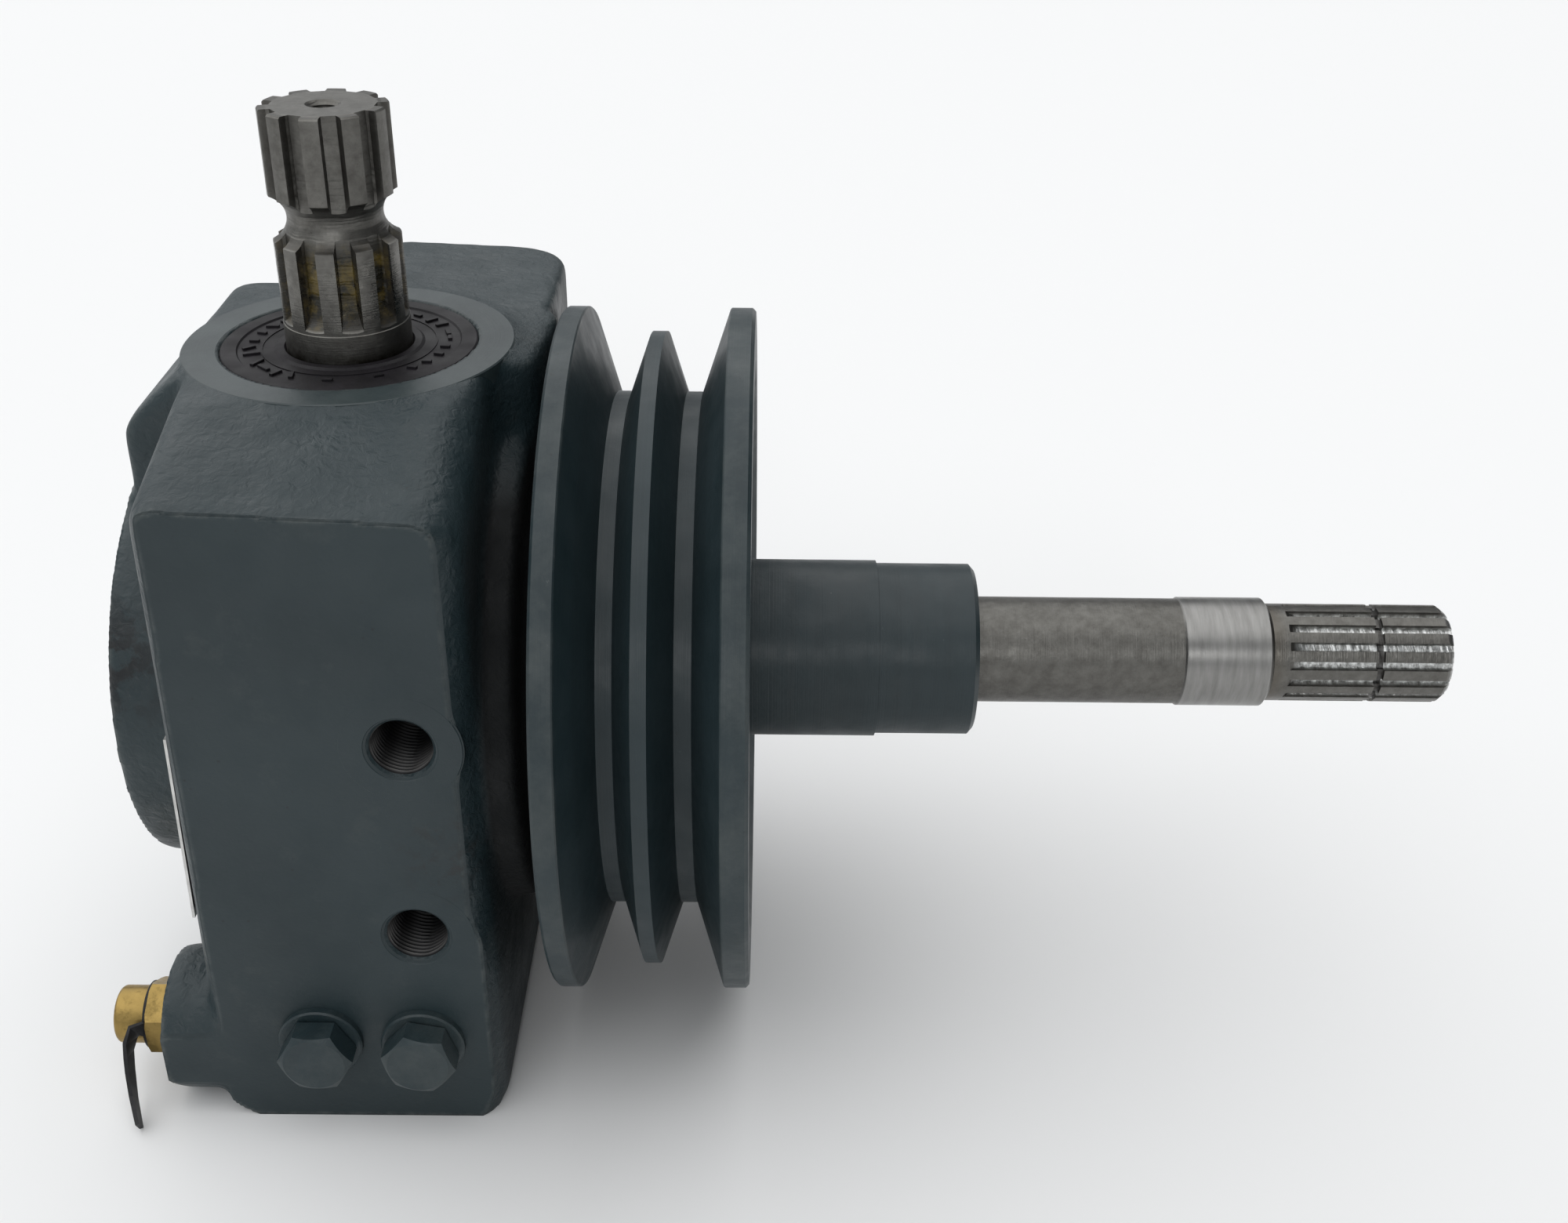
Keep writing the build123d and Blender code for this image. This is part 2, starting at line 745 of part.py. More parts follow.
def nameplate():
    return plate_strip(nameplate_low, nameplate_high, lambda z: plate_back_at(z) - nameplate_thickness,
                       plate_back_at)


def nameplate_backing():
    """Backing strip between the leaning wall and the plate, set back from the plate's edges."""
    inset = nameplate_backing_inset
    return plate_strip(nameplate_low + inset, nameplate_high - inset, plate_back_at, left_wall_at, inset)


def nameplate_rivet_list(head):
    """Two drive rivets: shanks in the wall, and heads of the given height if above zero."""
    rivets = []
    for z in rivet_heights:
        seat = plate_back_at(z) - nameplate_thickness - rivet_seat
        rivet = along_x(disc(rivet_radius, seat, seat + 8))
        if head > 0:
            rivet += along_x(disc(1.8 * rivet_radius, seat - head, seat))
        rivets.append(Pos(0, (nameplate_front + nameplate_rear) / 2, z) * rivet)
    return rivets


def front_bolt_list():
    bolts = []
    for x, z, turn in bolt_places:
        head = extrude(RegularPolygon(bolt_head_flats / 2, 6, major_radius=False, rotation=0),
                       bolt_head_height)
        crown = Cone(bolt_head_flats / 2 - 0.6 + bolt_head_height * 1.7, bolt_head_flats / 2 - 0.6,
                     bolt_head_height)
        head = head & (Pos(0, 0, bolt_head_height / 2) * crown)
        seat = washer_thickness + bolt_seat_height
        bolt = Pos(0, 0, seat) * head + disc(bolt_seat_radius, washer_thickness, seat)
        bolt += disc(bolt_radius, -bolt_length + 1, washer_thickness)
        bolts.append(Pos(x, front_face, z) * Rot(90, 0, 0) * Rot(0, 0, turn) * bolt)
    return bolts


def front_washer_list():
    washers = []
    for x, z, turn in bolt_places:
        ring = tube(washer_radius, bolt_radius, 0, washer_thickness)
        ring = chamfer(ring.edges().group_by(Axis.Z)[-1].sort_by(SortBy.RADIUS)[-1], 0.5)
        washers.append(Pos(x, front_face, z) * Rot(90, 0, 0) * ring)
    return washers


def breather_place():
    """Where the breather's seat is, with its axis pointing out of the left side."""
    return Pos(breather_boss_face, breather_y, breather_z) * Rot(0, -90, 0)


def breather_body():
    """Brass hexagon with its threaded stem and the neck that the cap and strap sit on."""
    corner = breather_hex_flats / 2 + 0.6
    hexagon = extrude(RegularPolygon(breather_hex_flats / 2, 6, major_radius=False, rotation=0),
                      breather_hex_height)
    rounding = Pos(0, 0, breather_hex_height / 2) * Cone(
        corner + breather_hex_height * 1.7, corner, breather_hex_height)
    body = (hexagon & rounding) + disc(breather_thread_radius, -17.0, 0)
    body += disc(breather_neck_radius, breather_hex_height, breather_neck_end)
    return breather_place() * (body - disc(2.0, -18.0, breather_neck_end - 1))


def breather_cap():
    """Round brass cap over the neck, its outer edge rounded."""
    cap = disc(breather_cap_radius, breather_cap_start, breather_cap_end)
    cap -= disc(breather_neck_radius, breather_cap_start - 1, breather_neck_end)
    return breather_place() * fillet(cap.edges().group_by(Axis.Z)[-1], 1.4)


def breather_strap():
    """Rubber strap: a ring round the neck and a flat tail that bends forwards down to the ground."""
    ring_low, ring_high = breather_hex_height + strap_play, breather_cap_start - strap_play
    ring = breather_place() * tube(strap_ring_radius, breather_neck_radius, ring_low, ring_high)
    # the tail's middle line, from the ring's middle: right of it, forwards of the breather's axis and
    # below it; then the tail's width, and how far its flat side has turned from facing left
    path = [(-0.1, 9.8, -3.0, 4.6, 41), (-2.2, 11.3, -3.6, 5.4, 35), (-3.5, 12.4, -0.8, 6.0, 15),
            (-4.4, 13.4, 3.8, 5.8, 0), (-4.1, 15.6, 8.8, 5.4, 0), (-2.7, 20.0, 14.8, 5.0, 0),
            (0.7, 27.6, 19.2, 4.4, 0)]
    start = Vector(breather_boss_face - (ring_low + ring_high) / 2, breather_y, breather_z)
    places = [start + Vector(right, -forwards, -down) for right, forwards, down, width, turn in path]
    sections = []
    for k, (right, forwards, down, width, turn) in enumerate(path):
        along = (places[min(k + 1, len(path) - 1)] - places[max(k - 1, 0)]).normalized()
        flat = Vector(-math.cos(math.radians(turn)), math.sin(math.radians(turn)), 0)
        flat = flat - along * flat.dot(along)
        place = Plane(origin=places[k], x_dir=flat.normalized(), z_dir=along)
        sections.append(place * make_face(Rectangle(strap_thickness, width)))
    return ring + loft(sections, ruled=True)


# ---- assembly ----
def place_bearing(nodes, name, bearing, place):
    nodes[name + "_outer_ring"] = place * bearing_outer(bearing)
    nodes[name + "_inner_ring"] = place * bearing_inner(bearing)
    nodes[name + "_balls"] = [place * ball for ball in bearing_balls(bearing)]
    nodes[name + "_cage"] = place * bearing_cage(bearing)


def all_nodes():
    nodes = {
        "housing": housing(),
        "left_cover": left_cover(),
        "cover_o_ring": cover_o_ring(),
        "cover_retaining_ring": along_x(internal_ring(
            cover_radius, 4.0, cover_face - cover_ring_thickness, cover_ring_thickness)),
        "input_seal": lip_seal(
            input_collar_radius + seal_clearance, input_seal_low, input_seal_high),
        "input_bearing_retaining_ring": internal_ring(seal_outer_radius, 3.0, input_ring_z, ring_thickness),
        "input_shim": tube(35.5, 32.0, input_ring_z - 0.5, input_ring_z),
        "cross_shaft_seal": along_x(lip_seal(
            seal_sleeve_radius + seal_clearance, cross_seal_low, seal_nose_face - 0.2)),
        "right_bearing_retaining_ring": along_x(
            internal_ring(seal_outer_radius, 3.0, right_ring_x, ring_thickness)),
        "right_bearing_shim": along_x(tube(35.5, 32.0, right_ring_x - 0.5, right_ring_x)),
        "front_bolts": front_bolt_list(),
        "front_bolt_washers": front_washer_list(),
        "breather_body": breather_body(),
        "breather_cap": breather_cap(),
        "breather_strap": breather_strap(),
        "nameplate": nameplate() - nameplate_rivet_list(0.0),
        "nameplate_backing": nameplate_backing() - nameplate_rivet_list(0.0),
        "nameplate_rivets": nameplate_rivet_list(1.0),
        "input_shaft": input_shaft(),
        "bevel_pinion": pinion(),
        "pinion_key": pinion_key_shape(),
        "pinion_retaining_ring": external_ring(pinion_seat_radius, 1.2, 3.6, 31.7, 1.5),
        "input_shaft_retaining_ring": external_ring(input_seat_radius, 1.3, 3.4, 91.2, 1.7),
        "cross_shaft": cross_shaft(),
        "crown_gear": crown_gear(),
        "crown_key": crown_key_shape(),
        "crown_shim": along_x(tube(21.5, cross_seat_left_radius, -38.0, -37.6)),
        "pulley": pulley(),
        "pulley_key": pulley_key_shape(),
        "spacer_sleeve": spacer_sleeve(),
        "seal_sleeve": seal_sleeve(),
    }
    place_bearing(nodes, "input_bearing_lower", input_bearing, Pos(0, 0, input_bearing_z[0]))
    place_bearing(nodes, "input_bearing_upper", input_bearing, Pos(0, 0, input_bearing_z[1]))
    place_bearing(nodes, "cross_bearing_left", cross_bearing_left,
                  Pos(cross_bearing_left_x, 0, 0) * Rot(0, 90, 0))
    place_bearing(nodes, "cross_bearing_right", cross_bearing_right,
                  Pos(cross_bearing_right_x, 0, 0) * Rot(0, 90, 0))
    return nodes


os.makedirs("parts", exist_ok=True)
for name, shape in all_nodes().items():
    pieces = shape if isinstance(shape, list) else [shape]
    solids = [solid for piece in pieces for solid in (Pos(0, 0, shaft_height) * piece).solids()]
    export_step(Compound(children=solids) if len(solids) > 1 else solids[0], "parts/" + name + ".step")
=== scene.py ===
import json
import math
import random

import bmesh
import bpy
import numpy as np
from mathutils import Matrix, Vector


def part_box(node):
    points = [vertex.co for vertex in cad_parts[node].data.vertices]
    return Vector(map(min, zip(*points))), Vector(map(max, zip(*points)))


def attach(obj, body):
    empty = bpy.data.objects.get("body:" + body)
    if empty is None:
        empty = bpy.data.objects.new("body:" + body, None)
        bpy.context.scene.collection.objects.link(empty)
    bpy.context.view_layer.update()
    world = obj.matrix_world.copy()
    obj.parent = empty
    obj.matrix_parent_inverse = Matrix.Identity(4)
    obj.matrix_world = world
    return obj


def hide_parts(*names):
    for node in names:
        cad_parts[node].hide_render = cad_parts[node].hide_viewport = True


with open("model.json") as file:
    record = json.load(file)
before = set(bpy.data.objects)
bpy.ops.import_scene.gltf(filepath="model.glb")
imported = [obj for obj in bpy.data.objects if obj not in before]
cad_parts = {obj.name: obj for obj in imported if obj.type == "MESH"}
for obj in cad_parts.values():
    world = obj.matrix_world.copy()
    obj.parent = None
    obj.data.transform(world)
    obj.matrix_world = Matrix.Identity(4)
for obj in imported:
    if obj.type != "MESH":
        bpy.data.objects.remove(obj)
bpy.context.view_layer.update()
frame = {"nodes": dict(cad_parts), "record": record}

# ---- places taken from the frame, in metres ----
mm = 0.001
CASE = "gear_case"
mounts = {m["name"]: m for m in frame["record"]["mounts"]}
PORTS = [mounts["port_upper"], mounts["port_lower"]]
SEAT_X, _, CROSS_Z = mounts["output_seat"]["pos_m"]
PAD_Y = mounts["front_pad"]["pos_m"][1]
PORT_RADIUS = mounts["port_upper"]["dims"]["r_mm"] * mm
case_low, case_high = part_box("housing")
breather_low, breather_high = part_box("breather_body")
SEAL_RADIUS, _, SEAL_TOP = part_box("input_seal")[1]
PULLEY_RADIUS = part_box("pulley")[1][1]
RING_TOP = case_high[2]
BOSS_FACE = case_low[0]

# ---- places that the materials refer to ----
# cross shaft: ground seat, start of the spline, ring groove in the spline
SEAT_START = SEAT_X - 12.4 * mm
SEAT_END = SEAT_X + 13.4 * mm
SPLINE_START = SEAT_X + 14 * mm
LOCK_X = mounts["output_spline"]["pos_m"][0] - 22.6 * mm
# input shaft: the heights over which the oily collar ends, the lower spline starts and the neck starts
COLLAR_END = (CROSS_Z + 100 * mm, CROSS_Z + 103 * mm)
LOWER_START = (CROSS_Z + 106.5 * mm, CROSS_Z + 110 * mm)
NECK_START = (CROSS_Z + 127 * mm, CROSS_Z + 133 * mm)
# input shaft: the radii over which a groove's floor and a groove as a whole end
FLOOR_END = (14.3 * mm, 15.2 * mm)
GROOVE_END = (16.6 * mm, 17.1 * mm)
# housing: scuff between the ports, stain on the left boss, rough skin at the rear, painted shade beside the
# pulley
upper, lower = (port["pos_m"] for port in PORTS)
SCUFF = ((upper[0] + lower[0]) / 2 + 12 * mm, PAD_Y, (upper[2] + lower[2]) / 2 - 3 * mm)
STAIN = (case_low[0], -58 * mm, CROSS_Z + 28 * mm)
ROUGH_SKIN = (53 * mm, 8 * mm, case_high[2] - 6 * mm)
PAINTED_SHADE_X = 41 * mm
PAINTED_SHADE_Z = CROSS_Z + 66 * mm

# ---- values that several materials share ----
PAINT_SPECULAR = 0.42
RUBBER_SPECULAR = 0.28
FLECK_COLOR = (0.008, 0.009, 0.010)


# ---- small helpers ----
def new_object(name, data):
    obj = bpy.data.objects.new(name, data)
    bpy.context.scene.collection.objects.link(obj)
    return obj


def mesh_from(name, verts, faces):
    mesh = bpy.data.meshes.new(name)
    mesh.from_pydata(verts, [], faces)
    mesh.update()
    mesh.shade_smooth()
    return new_object(name, mesh)


def apply_modifiers(obj):
    """Give an object the mesh that its modifiers make."""
    graph = bpy.context.evaluated_depsgraph_get()
    mesh = bpy.data.meshes.new_from_object(obj.evaluated_get(graph))
    obj.modifiers.clear()
    obj.data = mesh


# ---- node helpers ----
class Shader:
    """A material under construction: makes nodes and links them in one call."""

    def __init__(self, name):
        self.material = bpy.data.materials.new(name)
        self.material.use_nodes = True
        self.tree = self.material.node_tree
        self.tree.nodes.clear()
        self.out = self.tree.nodes.new("ShaderNodeOutputMaterial")
        self.bsdf = self.tree.nodes.new("ShaderNodeBsdfPrincipled")
        self.tree.links.new(self.bsdf.outputs[0], self.out.inputs[0])

    def put(self, socket, value):
        """Link a socket, or set its value."""
        if isinstance(value, bpy.types.NodeSocket):
            self.tree.links.new(value, socket)
        else:
            socket.default_value = value

    def set(self, **values):
        """Inputs of the surface, with underscores for the spaces in their names."""
        for key, value in values.items():
            self.put(self.bsdf.inputs[key.replace("_", " ")], value)

    def coords(self):
        return self.tree.nodes.new("ShaderNodeTexCoord").outputs["Object"]

    def pointiness(self):
        return self.tree.nodes.new("ShaderNodeNewGeometry").outputs["Pointiness"]

    def math(self, operation, a, b=0.0):
        node = self.tree.nodes.new("ShaderNodeMath")
        node.operation = operation
        self.put(node.inputs[0], a)
        self.put(node.inputs[1], b)
        return node.outputs[0]

    def times(self, a, b):
        return self.math("MULTIPLY", a, b)

    def plus(self, a, b):
        return self.math("ADD", a, b)

    def minus(self, a, b):
        return self.math("SUBTRACT", a, b)

    def length(self, a, b):
        """Length of the plane vector (a, b)."""
        return self.math("SQRT", self.plus(self.times(a, a), self.times(b, b)))

    def split(self, vector):
        node = self.tree.nodes.new("ShaderNodeSeparateXYZ")
        self.put(node.inputs[0], vector)
        return node.outputs

    def join(self, x, y, z):
        node = self.tree.nodes.new("ShaderNodeCombineXYZ")
        for socket, value in zip(node.inputs, (x, y, z)):
            self.put(socket, value)
        return node.outputs[0]

    def stretched(self, vector, factors):
        """A vector scaled axis by axis, so that a noise is drawn out along the small factors."""
        scaled = (axis if factor == 1.0 else self.times(axis, factor)
                  for axis, factor in zip(self.split(vector), factors))
        return self.join(*scaled)

    def noise(self, vector, scale, detail=3.0, rough=0.5, distortion=0.0):
        node = self.tree.nodes.new("ShaderNodeTexNoise")
        self.put(node.inputs["Vector"], vector)
        node.inputs["Scale"].default_value = scale
        node.inputs["Detail"].default_value = detail
        node.inputs["Roughness"].default_value = rough
        node.inputs["Distortion"].default_value = distortion
        return node.outputs[0]

    def voronoi(self, vector, scale):
        node = self.tree.nodes.new("ShaderNodeTexVoronoi")
        self.put(node.inputs["Vector"], vector)
        node.inputs["Scale"].default_value = scale
        return node.outputs["Distance"]

    def ramp(self, value, low, high, to_low=0.0, to_high=1.0):
        node = self.tree.nodes.new("ShaderNodeMapRange")
        node.clamp = True
        self.put(node.inputs["Value"], value)
        for key, number in (("From Min", low), ("From Max", high), ("To Min", to_low), ("To Max", to_high)):
            node.inputs[key].default_value = number
        return node.outputs[0]

    def fade(self, value, low, high):
        """1 up to the low value, falling to 0 at the high one."""
        return self.ramp(value, low, high, 1.0, 0.0)

    def band(self, value, start, end, soft):
        """1 from start to end, falling to 0 over a soft distance on both sides."""
        return self.times(self.ramp(value, start - soft, start), self.fade(value, end, end + soft))

    def near(self, point, place, inner, outer):
        """1 within the inner distance of a place, falling to 0 at the outer one."""
        offset = self.tree.nodes.new("ShaderNodeVectorMath")
        offset.operation = "DISTANCE"
        self.put(offset.inputs[0], point)
        offset.inputs[1].default_value = place
        return self.fade(offset.outputs["Value"], inner, outer)

    def mix(self, factor, a, b):
        node = self.tree.nodes.new("ShaderNodeMix")
        node.data_type = "RGBA"
        self.put(node.inputs[0], factor)
        for socket, value in ((node.inputs[6], a), (node.inputs[7], b)):
            self.put(socket, value if isinstance(value, bpy.types.NodeSocket) else (*value, 1.0))
        return node.outputs[2]

    def tint(self, base, mask, amount, color):
        """A base colour with another laid over it where the mask is, as strongly as the amount."""
        return self.mix(self.times(mask, amount), base, color)

    def bump(self, height, distance, strength):
        node = self.tree.nodes.new("ShaderNodeBump")
        node.inputs["Strength"].default_value = strength
        node.inputs["Distance"].default_value = distance
        self.put(node.inputs["Height"], height)
        return node.outputs[0]


def cross_radius(s, x, y, z):
    """Distance from the cross shaft's axis, which runs along X."""
    return s.length(y, s.minus(z, CROSS_Z))


# ---- materials ----
def paint_cast(name="paint_cast", edge_wear_and_highlight=0.7):
    """Blue-green grey paint over cast iron: rough as cast, smooth on the milled pad, rubbed at its edges and
    lightened there with a painted highlight.
    """
    s = Shader(name)
    p = s.coords()
    x, y, z = s.split(p)
    patches = s.ramp(s.noise(p, 16, 5, 0.55), 0.38, 0.64)
    base = s.mix(patches, (0.0125, 0.0235, 0.0275), (0.0175, 0.0305, 0.0350))
    # thin, greyer film where it was handled, and a lighter tone along the convex edges, partly worn paint
    # and partly painted highlight
    handled = s.ramp(s.noise(p, 55, 7, 0.72), 0.57, 0.72)
    base = s.tint(base, handled, 0.45, (0.040, 0.050, 0.051))
    edge = s.times(s.ramp(s.pointiness(), 0.512, 0.545), s.ramp(s.noise(p, 130, 5, 0.7), 0.42, 0.62))
    base = s.tint(base, edge, edge_wear_and_highlight, (0.070, 0.082, 0.081))
    # darker in the hollows, and small dark pinholes
    base = s.tint(base, s.fade(s.pointiness(), 0.455, 0.492), 0.75, (0.010, 0.013, 0.014))
    pin = s.times(s.fade(s.voronoi(p, 170), 0.0, 0.10), s.ramp(s.noise(p, 40, 3), 0.5, 0.6))
    base = s.tint(base, pin, 0.8, FLECK_COLOR)
    # scuffed patch between the two ports, black stains on the left boss, scratches along Z
    scuff = s.times(s.near(p, SCUFF, 6 * mm, 19 * mm), s.ramp(s.noise(p, 210, 6, 0.75), 0.50, 0.62))
    base = s.tint(base, scuff, 0.7, (0.014, 0.015, 0.015))
    stain = s.times(s.near(p, STAIN, 4 * mm, 24 * mm), s.ramp(s.noise(p, 120, 6, 0.7), 0.46, 0.54))
    base = s.tint(base, stain, 0.9, (0.003, 0.003, 0.004))
    scratch = s.ramp(s.noise(s.stretched(p, (9.0, 9.0, 1.2)), 95, 5, 0.8), 0.70, 0.74)
    base = s.tint(base, scratch, 0.35, (0.10, 0.115, 0.115))
    # painted shade, near black, on the side that faces the pulley, below the shoulder
    painted_shade = s.times(s.ramp(x, PAINTED_SHADE_X, PAINTED_SHADE_X + 2.5 * mm), s.fade(z, PAINTED_SHADE_Z, PAINTED_SHADE_Z + 12 * mm))
    base = s.tint(base, painted_shade, 0.97, (0.0010, 0.0016, 0.0020))
    rough = s.ramp(s.noise(p, 75, 5), 0.3, 0.7, 0.38, 0.56)
    rough = s.plus(rough, s.times(painted_shade, 0.35))
    # orange peel of the casting's skin, faint on the pad, and a much finer grain everywhere
    peel = s.times(s.noise(p, 330, 4, 0.5, 0.6), 0.85)
    swell = s.times(s.noise(p, 75, 3, 0.5), 1.3)
    off_pad = s.ramp(y, PAD_Y + 0.15 * mm, PAD_Y + 0.9 * mm)
    height = s.times(s.plus(peel, swell), s.plus(s.times(off_pad, 0.85), 0.15))
    height = s.plus(height, s.times(s.noise(p, 1100, 3, 0.6), 0.10))
    rough_skin = s.times(s.near(p, ROUGH_SKIN, 8 * mm, 26 * mm), s.noise(p, 420, 5, 0.7))
    height = s.plus(height, s.times(rough_skin, 1.6))
    s.set(Base_Color=base, Roughness=rough, Normal=s.bump(height, 0.00080, 0.85),
          Specular_IOR_Level=PAINT_SPECULAR)
    return s.material


def paint_turned(name="paint_turned", tone=1.0):
    """The same paint over a turned surface: fine tool rings, worn corners, dark flecks."""
    s = Shader(name)
    p = s.coords()
    x, y, z = s.split(p)
    radius = cross_radius(s, x, y, z)
    ring = s.join(s.plus(x, s.times(radius, 0.9)), 0.0, 0.0)
    rings = s.noise(ring, 1500, 3, 0.7)
    low, high = (tuple(c * tone for c in color)
                 for color in ((0.0120, 0.0230, 0.0270), (0.0180, 0.0310, 0.0360)))
    base = s.mix(s.ramp(s.noise(p, 22, 5, 0.6), 0.38, 0.62), low, high)
    base = s.tint(base, s.ramp(s.noise(ring, 190, 3, 0.6), 0.45, 0.65), 0.25, (0.011, 0.017, 0.019))
    # rims are rubbed by belts and benches
    rim = s.ramp(radius, PULLEY_RADIUS - 1.6 * mm, PULLEY_RADIUS - 0.3 * mm)
    rubbed = s.times(rim, s.ramp(s.noise(p, 60, 7, 0.75), 0.42, 0.70))
    base = s.tint(base, rubbed, 0.55, (0.062, 0.074, 0.073))
    base = s.tint(base, s.ramp(s.noise(p, 330, 6, 0.75), 0.655, 0.70), 0.75, FLECK_COLOR)
    base = s.tint(base, s.ramp(s.noise(p, 480, 5, 0.7), 0.70, 0.73), 0.35, (0.15, 0.16, 0.16))
    rough = s.ramp(s.noise(p, 90, 5), 0.3, 0.7, 0.36, 0.52)
    height = s.plus(s.times(rings, 0.8), s.times(s.noise(p, 260, 4), 0.9))
    s.set(Base_Color=base, Roughness=rough, Normal=s.bump(height, 0.00018, 0.6),
          Specular_IOR_Level=PAINT_SPECULAR)
    return s.material


def paint_machined_ring():
    """Thin paint over the turned face of the ring boss, a little lighter than the casting."""
    s = Shader("paint_machined_ring")
    p = s.coords()
    x, y, _ = s.split(p)
    rings = s.noise(s.join(s.length(x, y), 0.0, 0.0), 1700, 3, 0.7)
    patches = s.ramp(s.noise(p, 45, 6, 0.7), 0.4, 0.65)
    base = s.mix(patches, (0.0175, 0.0285, 0.0315), (0.0330, 0.0470, 0.0495))
    base = s.tint(base, s.ramp(s.noise(p, 300, 6, 0.75), 0.63, 0.70), 0.8, FLECK_COLOR)
    height = s.plus(s.times(rings, 0.6), s.noise(p, 350, 4))
    s.set(Base_Color=base, Roughness=0.40, Normal=s.bump(height, 0.00014, 0.6))
    return s.material


def steel_color(s, p, light, dark, dirt):
    """Grey steel with warm, patchy oxide and dark specks."""
    base = s.mix(s.ramp(s.noise(p, 260, 5, 0.7), 0.34, 0.68), dark, light)
    return s.tint(base, s.ramp(s.noise(p, 620, 5, 0.75), 0.64, 0.70), dirt, (0.05, 0.045, 0.04))


def input_steel():
    """Milled and turned input shaft: tool marks in the grooves, old grease in the lower ones."""
    s = Shader("input_shaft_steel")
    p = s.coords()
    x, y, z = s.split(p)
    radius = s.length(x, y)
    base = steel_color(s, p, (0.170, 0.166, 0.154), (0.110, 0.106, 0.098), 0.6)
    floor = s.fade(radius, *FLOOR_END)
    inside = s.fade(radius, *GROOVE_END)
    lower_part = s.times(s.ramp(z, *LOWER_START), s.fade(z, *NECK_START))
    groove = s.times(lower_part, inside)
    base = s.tint(base, groove, 0.75, (0.030, 0.028, 0.022))
    grease = s.times(groove, s.ramp(s.noise(p, 85, 5, 0.65), 0.36, 0.50))
    thickness = s.ramp(s.noise(p, 190, 5, 0.7), 0.45, 0.63)
    base = s.tint(base, grease, 0.95, s.mix(thickness, (0.012, 0.011, 0.006), (0.130, 0.092, 0.018)))
    flank = s.times(inside, s.minus(1.0, floor))
    base = s.tint(base, flank, 0.45, (0.055, 0.051, 0.046))
    oil = s.times(s.fade(z, *COLLAR_END), s.ramp(s.noise(p, 140, 5, 0.7), 0.36, 0.62))
    base = s.mix(oil, base, (0.040, 0.036, 0.028))
    metal = s.minus(1.0, s.times(grease, 0.85))
    # oily, uneven shine on the lower splined length
    shine = s.ramp(s.noise(s.stretched(p, (1.0, 1.0, 2.5)), 150, 5, 0.7), 0.4, 0.7, 0.20, 0.42)
    rough = s.split(s.mix(lower_part, (0.44, 0.44, 0.44), s.join(shine, shine, shine)))[0]
    # ripples left by the cutter across each groove floor, and turning rings on the plain lengths
    wobble = s.times(s.noise(p, 230, 3), 0.0016)
    ripple = s.times(s.noise(s.join(0.0, 0.0, s.plus(z, wobble)), 520, 2, 0.4), floor)
    turning = s.noise(s.stretched(p, (0.03, 0.03, 1.0)), 2600, 3, 0.6)
    height = s.plus(s.times(ripple, 6.0), s.times(turning, 0.6))
    height = s.plus(height, s.times(s.noise(p, 480, 4, 0.6), 0.7))
    s.set(Base_Color=base, Metallic=metal, Roughness=rough, Normal=s.bump(height, 0.00013, 0.7))
    return s.material


def cross_steel():
    """Cross shaft: coarse turned length, smooth ground seat, bright milled spline grooves."""
    s = Shader("cross_shaft_steel")
    p = s.coords()
    x, y, z = s.split(p)
    radius = cross_radius(s, x, y, z)
    base = steel_color(s, p, (0.160, 0.156, 0.145), (0.108, 0.104, 0.096), 0.45)
    seat = s.band(x, SEAT_START, SEAT_END, 0.8 * mm)
    streaks = s.noise(s.stretched(p, (9.0, 1.0, 1.0)), 60, 4, 0.6)
    ground = s.mix(s.ramp(streaks, 0.35, 0.65), (0.225, 0.222, 0.215), (0.310, 0.307, 0.298))
    base = s.tint(base, seat, 0.85, ground)
    spline = s.ramp(x, SPLINE_START, SPLINE_START + 1 * mm)
    groove = s.times(spline, s.fade(radius, 13.4 * mm, 14.6 * mm))
    bright = s.ramp(s.noise(s.join(x, 0.0, z), 620, 3, 0.6), 0.35, 0.65)
    base = s.mix(groove, base, s.mix(bright, (0.24, 0.24, 0.23), (0.85, 0.86, 0.85)))
    # dirt in the ring groove, and a darker start of the spline
    lock = s.band(x, LOCK_X - 1.0 * mm, LOCK_X + 1.0 * mm, 0.2 * mm)
    lock = s.times(lock, s.fade(radius, 14.9 * mm, 15.1 * mm))
    base = s.tint(base, lock, 0.85, (0.03, 0.027, 0.025))
    corner = s.times(spline, s.fade(x, SPLINE_START + 1 * mm, SPLINE_START + 5 * mm))
    base = s.tint(base, corner, 0.5, (0.12, 0.105, 0.085))
    rough = s.ramp(s.noise(p, 110, 5), 0.3, 0.7, 0.38, 0.48)
    rough = s.minus(rough, s.times(s.math("MAXIMUM", seat, spline), 0.08))
    # turning rings and pits, almost none of them on the ground seat, and chatter in the milled grooves
    rings = s.noise(s.stretched(p, (1.0, 0.02, 0.02)), 2300, 3, 0.65)
    pits = s.noise(p, 520, 5, 0.65)
    height = s.plus(s.times(rings, 0.8), s.times(pits, 1.4))
    height = s.times(height, s.minus(1.0, s.times(seat, 0.85)))
    chatter = s.noise(s.join(s.plus(x, s.times(z, 0.35)), 0.0, 0.0), 560, 2)
    height = s.plus(height, s.times(chatter, s.times(groove, 5.0)))
    s.set(Base_Color=base, Metallic=1.0, Roughness=rough, Normal=s.bump(height, 0.00012, 0.7))
    return s.material


